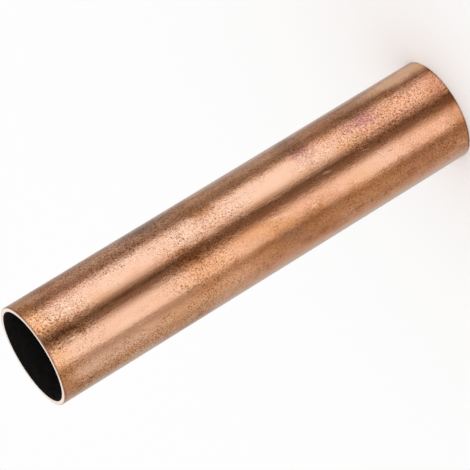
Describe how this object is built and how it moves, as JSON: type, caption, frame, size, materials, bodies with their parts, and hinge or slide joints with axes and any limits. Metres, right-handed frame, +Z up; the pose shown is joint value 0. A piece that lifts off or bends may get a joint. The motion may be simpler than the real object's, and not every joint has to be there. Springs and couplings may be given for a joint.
{
  "type": "copper pipe length",
  "caption": "Short length of thin-walled round copper pipe with square-cut, reamed ends, that carries water or gas between plumbing fittings.",
  "frame": {"origin": "middle of the lower cut end, on the floor that the pipe stands on", "axes": "+Z up along the pipe's axis, from the end it stands on to the end whose mouth the picture shows; +X and +Y are any two directions across the round section, and the picture's camera is on the -Y side"},
  "size_m": [0.022, 0.022, 0.1],
  "materials": {
    "copper": "satin"
  },
  "bodies": {
    "root": {"copper_pipe": "copper"}
  },
  "joints": []
}
